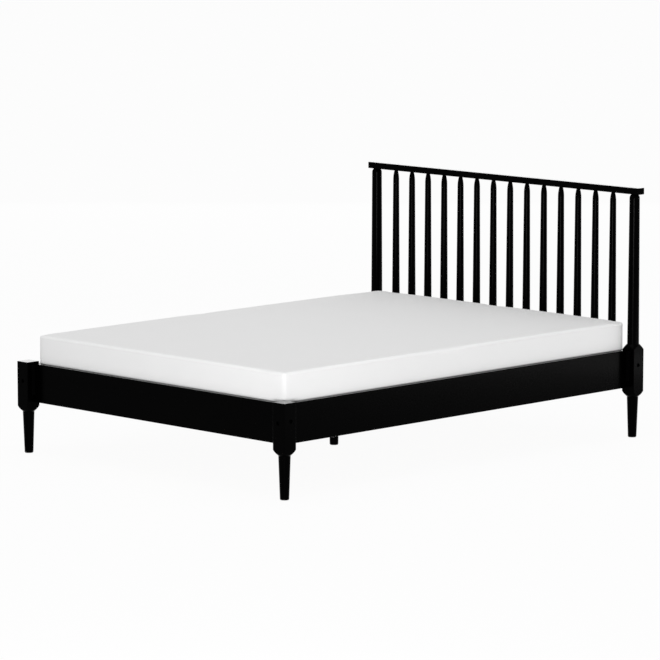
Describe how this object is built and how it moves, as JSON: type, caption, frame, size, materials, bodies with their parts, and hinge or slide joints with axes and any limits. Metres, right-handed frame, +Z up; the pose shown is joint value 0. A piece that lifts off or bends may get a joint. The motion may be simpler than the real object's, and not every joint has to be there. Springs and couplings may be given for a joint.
{
  "type": "spindle bed",
  "caption": "Platform bed with turned posts on square blocks, flat rails, a headboard of tapered upright spindles under a thin top rail, slats, a centre leg and a plain mattress.",
  "frame": {"origin": "on the floor, midway between the four legs", "axes": "+Z up; +Y along the bed from the foot end to the headboard; +X to the right seen from the foot end"},
  "size_m": [1.512, 2.024, 1.0115],
  "materials": {
    "black_wood": "turned and planed hardwood under a satin black lacquer",
    "bare_wood": "planed pine with no coating",
    "bolt": "steel with a black oxide finish",
    "zinc": "zinc-plated steel",
    "glide": "hard black plastic",
    "strap": "woven polyester webbing",
    "mattress": "plain white knitted cover"
  },
  "bodies": {
    "frame": {"angle_screws": "bolt", "beam_saddle_foot": "zinc", "beam_saddle_head": "zinc", "centre_beam": "bare_wood", "centre_leg": "black_wood", "cleat_left": "bare_wood", "cleat_right": "bare_wood", "cleat_screws": "zinc", "corner_angle_foot_left": "bolt", "corner_angle_foot_right": "bolt", "corner_angle_head_left": "bolt", "corner_angle_head_right": "bolt", "corner_bolts": "bolt", "foot_post_left": "black_wood", "foot_post_right": "black_wood", "foot_rail": "black_wood", "glides": "glide", "hanger_bolt": "zinc", "head_post_left": "black_wood", "head_post_right": "black_wood", "head_rail": "black_wood", "leg_insert": "zinc", "saddle_screws": "zinc", "side_rail_left": "black_wood", "side_rail_right": "black_wood", "slat_01": "bare_wood", "slat_02": "bare_wood", "slat_03": "bare_wood", "slat_04": "bare_wood", "slat_05": "bare_wood", "slat_06": "bare_wood", "slat_07": "bare_wood", "slat_08": "bare_wood", "slat_09": "bare_wood", "slat_10": "bare_wood", "slat_11": "bare_wood", "slat_12": "bare_wood", "slat_13": "bare_wood", "slat_screws": "zinc", "slat_strap_left": "strap", "slat_strap_right": "strap", "spindle_01": "black_wood", "spindle_02": "black_wood", "spindle_03": "black_wood", "spindle_04": "black_wood", "spindle_05": "black_wood", "spindle_06": "black_wood", "spindle_07": "black_wood", "spindle_08": "black_wood", "spindle_09": "black_wood", "spindle_10": "black_wood", "spindle_11": "black_wood", "spindle_12": "black_wood", "spindle_13": "black_wood", "spindle_14": "black_wood", "top_rail": "black_wood"},
    "mattress": {"mattress": "mattress"}
  },
  "joints": [
    {"name": "mattress_lift", "type": "slide", "parent": "frame", "child": "mattress", "axis": [0, 0, 1], "range_m": [0, 0.3]}
  ]
}
